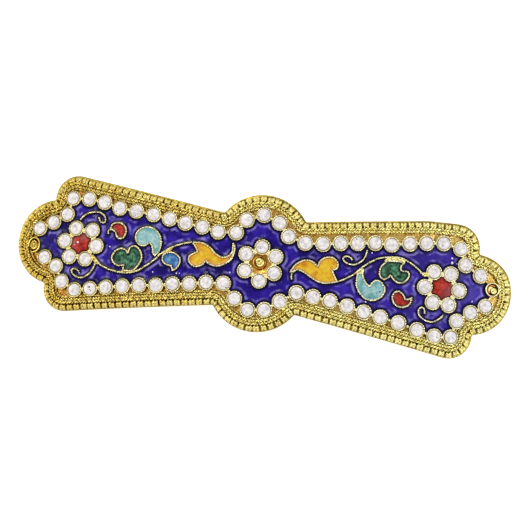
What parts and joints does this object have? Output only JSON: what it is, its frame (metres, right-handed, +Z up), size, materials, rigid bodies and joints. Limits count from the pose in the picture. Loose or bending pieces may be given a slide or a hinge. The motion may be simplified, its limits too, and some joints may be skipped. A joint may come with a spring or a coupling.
{
  "type": "hair clip",
  "caption": "Long arched hair clip: a gilt filigree plate with rows of enamel dots, flowers and leaf scrolls, riveted over a plain spring clasp.",
  "frame": {"origin": "centre of the clasp arm's flat underside, which the clip rests on", "axes": "+X along the clip, +Z up out of the decorated face, +Y across the clip towards the upper edge in the picture"},
  "size_m": [0.0894, 0.0246, 0.0106],
  "materials": {
    "gilt_silver": "polished gilt silver filigree",
    "white_enamel": "glossy fired enamel, slightly lilac white",
    "blue_enamel": "glossy fired enamel, deep ultramarine",
    "yellow_enamel": "glossy fired enamel, yellow to orange",
    "green_enamel": "glossy fired enamel, mottled green",
    "turquoise_enamel": "glossy fired enamel, pale turquoise",
    "pale_blue_enamel": "glossy fired enamel, sky blue",
    "red_enamel": "glossy fired enamel, brick red",
    "gilt_steel": "satin gilt spring steel"
  },
  "bodies": {
    "root": {"filigree_plate": "gilt_silver", "upper_dots": "white_enamel", "lower_dots": "white_enamel", "blue_field": "blue_enamel", "left_tip_field": "blue_enamel", "right_tip_field": "blue_enamel", "left_petal_1": "white_enamel", "left_petal_2": "white_enamel", "left_petal_3": "white_enamel", "left_petal_4": "white_enamel", "left_petal_5": "white_enamel", "left_petal_6": "white_enamel", "centre_petal_1": "white_enamel", "centre_petal_2": "white_enamel", "centre_petal_3": "white_enamel", "centre_petal_4": "white_enamel", "centre_petal_5": "white_enamel", "centre_petal_6": "white_enamel", "right_petal_1": "white_enamel", "right_petal_2": "white_enamel", "right_petal_3": "white_enamel", "right_petal_4": "white_enamel", "right_petal_5": "white_enamel", "right_petal_6": "white_enamel", "left_eye": "red_enamel", "right_eye": "red_enamel", "left_rivet": "gilt_silver", "centre_rivet": "gilt_silver", "right_rivet": "gilt_silver", "red_leaf_left": "red_enamel", "red_leaf_right": "red_enamel", "turquoise_leaf_left": "turquoise_enamel", "turquoise_leaf_right": "turquoise_enamel", "green_leaf_left": "green_enamel", "green_leaf_right": "green_enamel", "blue_leaf_left": "pale_blue_enamel", "yellow_leaf_left": "yellow_enamel", "yellow_leaf_right": "yellow_enamel", "clasp": "gilt_steel"}
  },
  "joints": []
}
